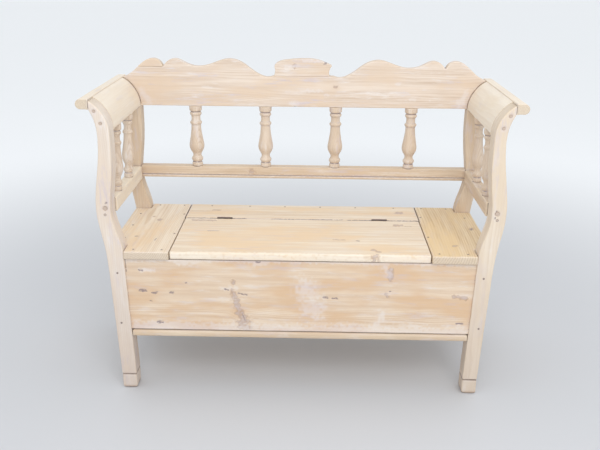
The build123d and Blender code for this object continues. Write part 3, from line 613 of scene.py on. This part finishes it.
# Each pine's pale, dark and stained wood, how much lime it keeps and how strong its grain is.
FINISHES = {
    "limed_pine": pine(
        "limed_pine", tone(231, 217, 203), tone(198, 175, 153), tone(221, 199, 176), 0.75, 0.65
    ),
    "post_pine": pine(
        "post_pine", tone(230, 218, 205), tone(209, 190, 173), tone(223, 206, 189), 0.6, 0.5, foot_darkening=0.35
    ),
    "cream_pine": pine(
        "cream_pine", tone(229, 215, 197), tone(207, 187, 164), tone(221, 203, 180), 0.5, 0.5, foot_darkening=0.3
    ),
    "tan_pine": pine(
        "tan_pine", tone(221, 203, 181), tone(192, 167, 141), tone(208, 184, 157), 0.5, 0.6, foot_darkening=0.25
    ),
    "pale_pine": pine("pale_pine", tone(239, 228, 212), tone(219, 201, 179), tone(232, 217, 196), 0.3, 0.4),
    "turned_pine": pine(
        "turned_pine", tone(226, 210, 192), tone(190, 166, 143), tone(210, 189, 166), 0.5, 0.7
    ),
    "honey_pine": pine(
        "honey_pine", tone(238, 224, 204), tone(210, 184, 154), tone(231, 204, 169), 0.3, 0.6,
        ring_width=0.0055,
    ),
    "amber_pine": pine(
        "amber_pine", tone(234, 214, 181), tone(200, 169, 128), tone(228, 201, 158), 0.15, 0.75,
        ring_width=0.0075,
    ),
    "warm_pine": pine("warm_pine", tone(233, 214, 191), tone(200, 169, 140), tone(217, 183, 147), 0.45, 0.6),
    "box_pine": pine("box_pine", tone(226, 208, 184), tone(194, 168, 140), tone(212, 186, 156), 0.4, 0.7),
    "peg_wood": peg_wood(),
    "iron": iron("iron", tone(108, 98, 98), tone(140, 116, 102)),
    "nail_iron": iron("nail_iron", tone(146, 132, 128), tone(176, 156, 142)),
}
FITTINGS = {"peg": "peg_wood", "dowel": "peg_wood", "nail": "nail_iron", "hinge": "iron"}


def dress_fittings():
    """Pegs, dowels, nails and hinges keep their CAD shape and take their own finish."""
    for name, obj in nodes.items():
        if name in TIMBERS:
            continue
        finish = next(FITTINGS[word] for word in FITTINGS if word in name)
        obj.data.materials.clear()
        obj.data.materials.append(FINISHES[finish])


# ---------------------------------------------------------------- the studio

FLOOR_NEAR, FLOOR_FAR = tone(204, 205, 208), tone(252, 253, 254)
SKY, SKY_STRENGTH = (0.94, 0.97, 1.0, 1.0), 0.9
EYE = (0.0348, -2.1927, 1.2801)
PITCH, YAW, ROLL = math.radians(20.28), math.radians(1.0265), math.radians(0.4957)
LENS, SENSOR = 44.4, 36  # in millimetres


def floor():
    """A plain pale floor that fades to white far from the bench."""
    rim, rings = 96, (1.0, 2.0, 4.0, 10.0, 40.0)
    vertices = [(0, 0, 0)]
    for radius in rings:
        turns = (math.tau * k / rim for k in range(rim))
        vertices += [(radius * math.cos(t), radius * math.sin(t), 0) for t in turns]
    faces = [(0, 1 + k, 1 + (k + 1) % rim) for k in range(rim)]
    for ring in range(len(rings) - 1):
        inner, outer = 1 + ring * rim, 1 + (ring + 1) * rim
        for k in range(rim):
            after = (k + 1) % rim
            faces.append((inner + k, outer + k, outer + after, inner + after))
    mesh = bpy.data.meshes.new("floor")
    mesh.from_pydata(vertices, [], faces)
    obj = bpy.data.objects.new("floor", mesh)
    scene.collection.objects.link(obj)
    net = Net("pale_floor")
    place = net.node("TexCoord").outputs["Object"]
    away = net.node("VectorMath", place, operation="LENGTH").outputs["Value"]
    far = net.band(away, 1.0, 3.2)
    net.feed(net.shader.inputs["Base Color"], net.mix(far, FLOOR_NEAR, FLOOR_FAR))
    net.shader.inputs["Roughness"].default_value = 0.7
    mesh.materials.append(net.material)


def lamp(name, place, target, size, power):
    """A white rectangular lamp, aimed at a target."""
    light = bpy.data.lights.new(name, "AREA")
    light.shape = "RECTANGLE"
    light.size, light.size_y = size
    light.energy = power
    obj = bpy.data.objects.new(name, light)
    scene.collection.objects.link(obj)
    obj.location = place
    obj.rotation_euler = (Vector(target) - Vector(place)).to_track_quat("-Z", "Y").to_euler()


def studio():
    """Soft light from the front and above, under a pale sky."""
    lamp("key", (0.5, -2.9, 2.7), (0, 0, 0.5), (2.6, 1.8), 52)
    lamp("top", (0.0, -0.6, 3.2), (0, 0, 0), (3.2, 2.6), 8)
    world = bpy.data.worlds.new("studio")
    scene.world = world
    world.use_nodes = True
    backdrop = world.node_tree.nodes["Background"]
    backdrop.inputs["Color"].default_value = SKY
    backdrop.inputs["Strength"].default_value = SKY_STRENGTH
    scene.view_settings.view_transform = "Standard"


def camera():
    """Stands in front of the bench at a standing person's chest, looking down at it."""
    lens = bpy.data.cameras.new("camera")
    lens.sensor_width = SENSOR
    lens.lens = LENS
    obj = bpy.data.objects.new("camera", lens)
    scene.collection.objects.link(obj)
    turn = Matrix.Rotation(YAW, 3, "Z") @ Matrix.Rotation(math.pi / 2 - PITCH, 3, "X")
    turn = turn @ Matrix.Rotation(ROLL, 3, "Z")
    obj.matrix_world = Matrix.Translation(EYE) @ turn.to_4x4()
    scene.camera = obj


camera()
studio()
floor()
dress_fittings()
for seed, (node, timber) in enumerate(TIMBERS.items(), 1):
    worn_piece(node, timber, seed)
